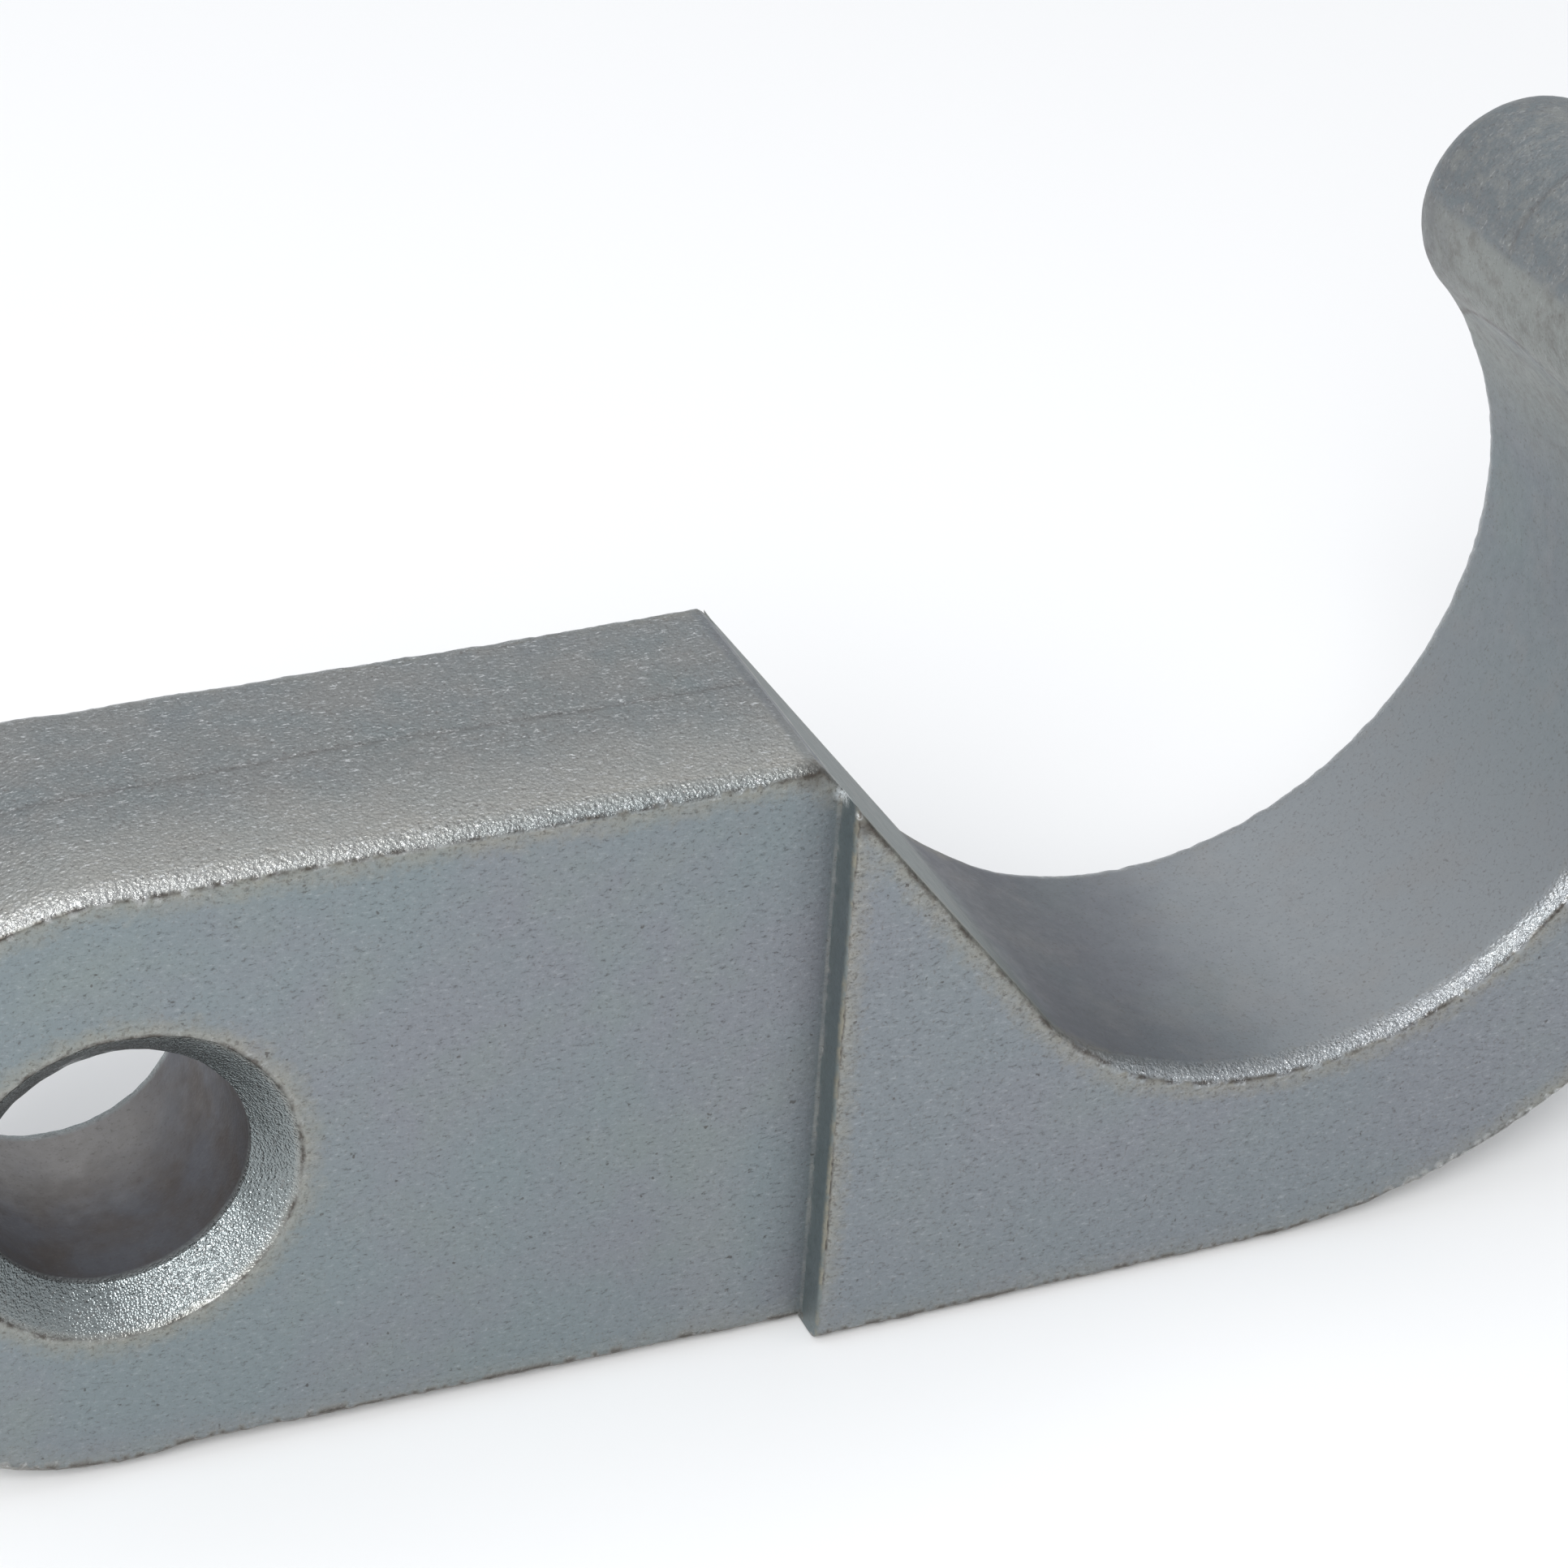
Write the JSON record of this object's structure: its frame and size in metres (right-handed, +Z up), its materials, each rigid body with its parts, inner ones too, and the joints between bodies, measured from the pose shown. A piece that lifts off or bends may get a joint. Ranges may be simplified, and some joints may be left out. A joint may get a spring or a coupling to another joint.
{
  "type": "cleat horn",
  "caption": "One-piece forged steel horn: flat shank with a bolt eye, milled shoulders, and an open round seat that ends in a rounded tip.",
  "frame": {"origin": "centre of the bolt hole, midway between the two cheeks of the shank", "axes": "+X from the eye towards the horn, +Y along the bolt hole, +Z up, the way the seat opens"},
  "size_m": [0.1065, 0.0194, 0.0546],
  "materials": {
    "zinc_plated_forging": "shot-blasted drop forging with clear blue zinc plating, satin, smoother in the seat"
  },
  "bodies": {
    "root": {"horn_forging": "zinc_plated_forging"}
  },
  "joints": []
}
